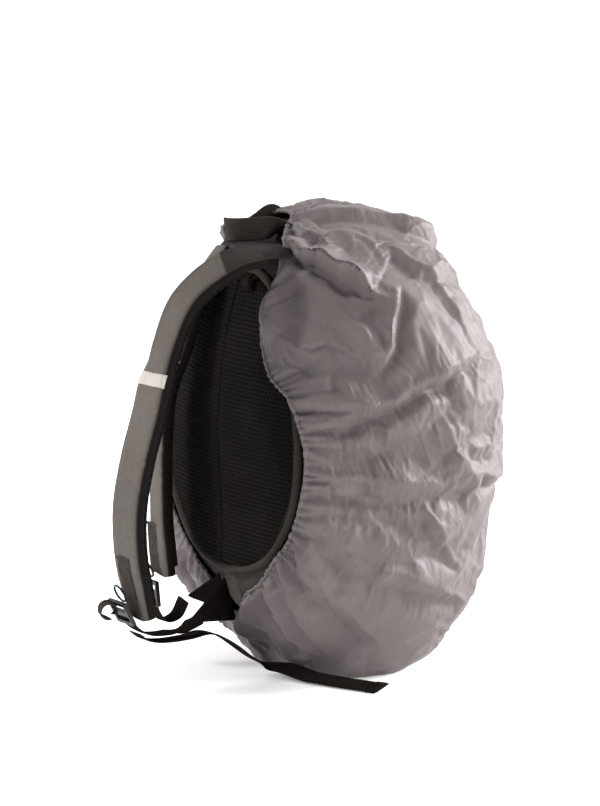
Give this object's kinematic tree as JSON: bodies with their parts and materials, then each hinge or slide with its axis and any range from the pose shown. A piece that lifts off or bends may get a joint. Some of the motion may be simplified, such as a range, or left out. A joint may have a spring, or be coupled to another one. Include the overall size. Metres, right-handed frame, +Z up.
{
  "type": "backpack with rain cover",
  "caption": "Backpack standing on its base with a fitted elastic-hem rain cover, air-mesh back panel, padded shoulder straps and a webbing grab handle.",
  "frame": {"origin": "middle of the outline's footprint, on the surface the pack stands on", "axes": "+Z up; the back panel and shoulder straps face -Y, the front of the pack +Y; +X is the wearer's left"},
  "size_m": [0.335, 0.4596, 0.468],
  "materials": {
    "cover_cloth": "satin",
    "elastic": "matte",
    "pack_cloth": "matte",
    "strap_cloth": "matte",
    "air_mesh": "matte",
    "binding": "satin",
    "foam": "matte",
    "board": "satin",
    "webbing": "matte",
    "buckle": "gloss",
    "reflective": "satin",
    "zip": "matte",
    "slider": "satin"
  },
  "bodies": {
    "pack": {"cover_top_panel": "cover_cloth", "cover_left_panel": "cover_cloth", "cover_base_panel": "cover_cloth", "cover_right_panel": "cover_cloth", "cover_front_panel": "cover_cloth", "cover_hem_elastic": "elastic", "bag_top_panel": "pack_cloth", "bag_left_panel": "pack_cloth", "bag_base_panel": "pack_cloth", "bag_right_panel": "pack_cloth", "bag_front_panel": "pack_cloth", "back_cloth": "pack_cloth", "back_foam": "foam", "frame_sheet": "board", "left_back_pad": "air_mesh", "right_back_pad": "air_mesh", "panel_piping": "binding", "laptop_sleeve": "pack_cloth", "base_board": "board", "front_pocket": "pack_cloth", "front_pocket_zip": "zip", "left_side_pocket": "pack_cloth", "right_side_pocket": "pack_cloth", "main_zip": "zip", "shoulder_yoke": "strap_cloth", "left_base_tab": "webbing", "right_base_tab": "webbing", "left_adjuster_webbing": "webbing", "right_adjuster_webbing": "webbing", "left_webbing_tail": "webbing", "hang_loop": "webbing"},
    "handle": {"grab_handle": "webbing"},
    "left_strap": {"left_strap_pad": "strap_cloth", "left_strap_lining": "air_mesh", "left_reflective_band": "reflective", "left_strap_tape": "webbing"},
    "right_strap": {"right_strap_pad": "strap_cloth", "right_strap_lining": "air_mesh", "right_reflective_band": "reflective", "right_strap_tape": "webbing"},
    "left_lock": {"left_ladder_lock": "buckle", "left_webbing_fold": "webbing"},
    "right_lock": {"right_ladder_lock": "buckle"},
    "left_d_ring": {"left_ring": "buckle"},
    "right_d_ring": {"right_ring": "buckle"},
    "left_slider": {"left_zip_slider": "slider"},
    "right_slider": {"right_zip_slider": "slider"}
  },
  "joints": [
    {"name": "handle_flip", "type": "hinge", "parent": "pack", "child": "handle", "pos_m": [0, -0.0067, 0.449], "axis": [-1, 0, 0], "range_deg": [0, 60]},
    {"name": "left_strap_swing", "type": "hinge", "parent": "pack", "child": "left_strap", "pos_m": [0.06, -0.0577, 0.43], "axis": [-1, 0, 0], "range_deg": [0, 35], "deforming": ["left_adjuster_webbing"]},
    {"name": "right_strap_swing", "type": "hinge", "parent": "pack", "child": "right_strap", "pos_m": [-0.046, -0.0327, 0.418], "axis": [-1, 0, 0], "range_deg": [0, 35], "deforming": ["right_adjuster_webbing"]},
    {"name": "left_lock_tilt", "type": "hinge", "parent": "left_strap", "child": "left_lock", "pos_m": [0.06, -0.1987, 0.0925], "axis": [-1, 0, 0], "range_deg": [-12, 8]},
    {"name": "right_lock_tilt", "type": "hinge", "parent": "right_strap", "child": "right_lock", "pos_m": [-0.06, -0.1064, 0.0885], "axis": [-1, 0, 0], "range_deg": [-8, 25]},
    {"name": "left_ring_swing", "type": "hinge", "parent": "left_strap", "child": "left_d_ring", "pos_m": [0.06, -0.2017, 0.111], "axis": [-1, 0, 0], "range_deg": [-8, 10]},
    {"name": "right_ring_swing", "type": "hinge", "parent": "right_strap", "child": "right_d_ring", "pos_m": [-0.06, -0.1067, 0.108], "axis": [-1, 0, 0], "range_deg": [-8, 10]},
    {"name": "left_slider_travel", "type": "hinge", "parent": "pack", "child": "left_slider", "pos_m": [0, 0.0713, 0.308], "axis": [0, 1, 0], "range_deg": [0, 75]},
    {"name": "right_slider_travel", "type": "hinge", "parent": "pack", "child": "right_slider", "pos_m": [0, 0.0713, 0.308], "axis": [0, -1, 0], "range_deg": [0, 75]}
  ]
}
